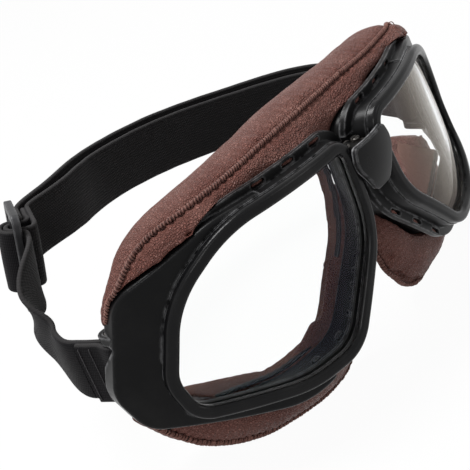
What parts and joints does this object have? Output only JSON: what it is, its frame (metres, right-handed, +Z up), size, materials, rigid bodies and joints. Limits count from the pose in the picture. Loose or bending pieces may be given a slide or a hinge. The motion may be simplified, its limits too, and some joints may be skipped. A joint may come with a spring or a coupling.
{
  "type": "aviator flying goggles",
  "caption": "Flying goggles with two bowed clear lenses in satin frames, leather face pads, a bridge shield and an adjustable elastic head strap.",
  "frame": {"origin": "middle of the face seat, between the eyes", "axes": "+X towards the wearer's left, +Y towards the head, +Z up"},
  "size_m": [0.1784, 0.1152, 0.0856],
  "materials": {
    "frame": "satin black moulded plastic",
    "rim": "satin black raised ring",
    "shield": "black enamel with worn edges",
    "lens": "clear with a faint coating",
    "gasket": "black",
    "leather": "brown grained leather, whip-stitched",
    "lining": "soft brown lining",
    "webbing": "black elastic webbing",
    "slider": "dark grey",
    "steel": "blackened steel"
  },
  "bodies": {
    "goggles": {"bridge_bracket": "steel", "bridge_cover": "shield", "bridge_screws": "steel", "brow_pad": "leather", "inner_back_run": "webbing", "inner_left_run": "webbing", "inner_slider_run": "webbing", "left_cheek_pad": "leather", "left_eyecup": "frame", "left_lens": "lens", "left_lens_gasket": "gasket", "left_lining": "lining", "left_pad_studs": "steel", "left_rim": "rim", "left_strap_bar": "steel", "outer_back_run": "webbing", "outer_left_run": "webbing", "outer_slider_run": "webbing", "right_cheek_pad": "leather", "right_eyecup": "frame", "right_lens": "lens", "right_lens_gasket": "gasket", "right_lining": "lining", "right_pad_studs": "steel", "right_rim": "rim", "right_strap_bar": "steel", "short_run": "webbing"},
    "right_loop": {"right_end_loop": "webbing"},
    "left_loop": {"left_end_loop": "webbing"},
    "adjuster": {"slider": "slider", "slider_hem_loop": "webbing", "slider_wrap": "webbing"}
  },
  "joints": [
    {"name": "right_strap_swivel", "type": "hinge", "parent": "goggles", "child": "right_loop", "pos_m": [-0.0816, -0.0009, -0.005], "axis": [0, 0, 1], "range_deg": [-15, 15], "deforming": ["short_run"]},
    {"name": "left_strap_swivel", "type": "hinge", "parent": "goggles", "child": "left_loop", "pos_m": [0.0816, -0.0009, -0.005], "axis": [0, 0, 1], "range_deg": [-15, 15], "deforming": ["outer_left_run", "inner_left_run"]},
    {"name": "slider_travel", "type": "slide", "parent": "goggles", "child": "adjuster", "axis": [0.5299, 0.848, 0], "range_m": [0, 0.012], "deforming": ["short_run", "outer_slider_run", "inner_slider_run"]}
  ]
}
